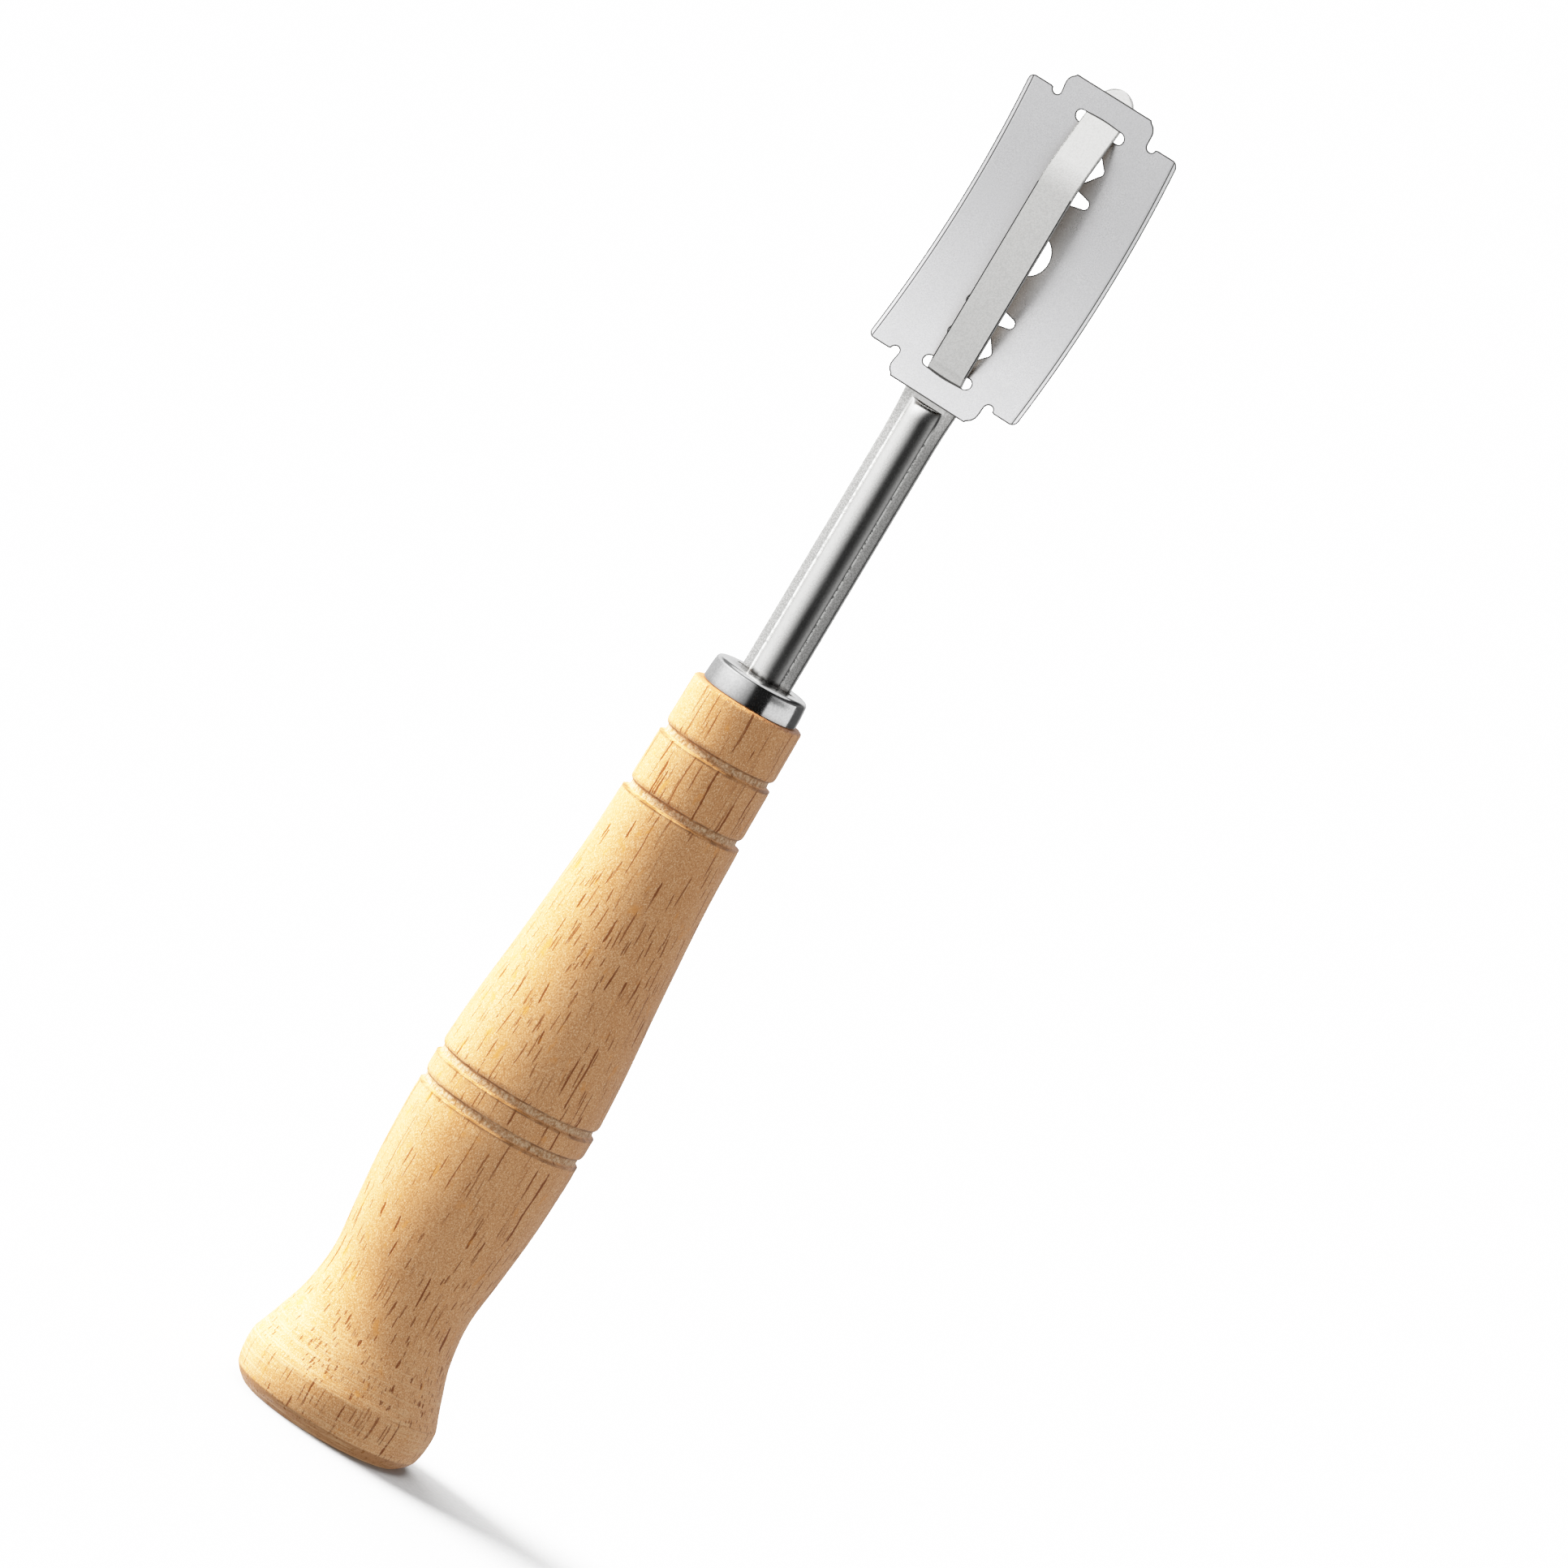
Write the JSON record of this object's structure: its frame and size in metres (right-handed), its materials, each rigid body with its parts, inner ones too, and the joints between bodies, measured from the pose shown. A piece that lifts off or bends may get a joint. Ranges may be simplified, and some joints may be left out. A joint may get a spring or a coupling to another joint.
{
  "type": "bread lame",
  "caption": "Dough-scoring tool: a turned wooden handle, a pressed steel cup and ribbed spring stem, and a double-edge blade threaded on the stem's bow.",
  "frame": {"origin": "centre of the flat face of the handle's butt, on which the lame stands", "axes": "+Z along the handle towards the blade's tip; X across the blade, from one long cutting edge to the other; -Y is the side of the blade on which the bow passes"},
  "size_m": [0.0254, 0.0254, 0.1862],
  "materials": {
    "turned_wood": "satin",
    "plated_steel": "polished",
    "spring_steel": "satin",
    "blade_steel": "satin"
  },
  "bodies": {
    "handle_and_stem": {"handle": "turned_wood", "ferrule": "plated_steel", "stem": "spring_steel"},
    "blade": {"blade": "blade_steel"}
  },
  "joints": [
    {"name": "blade_slide", "type": "slide", "parent": "handle_and_stem", "child": "blade", "axis": [0, 0, 1], "range_m": [0, 0.05], "deforming": ["blade"]}
  ]
}
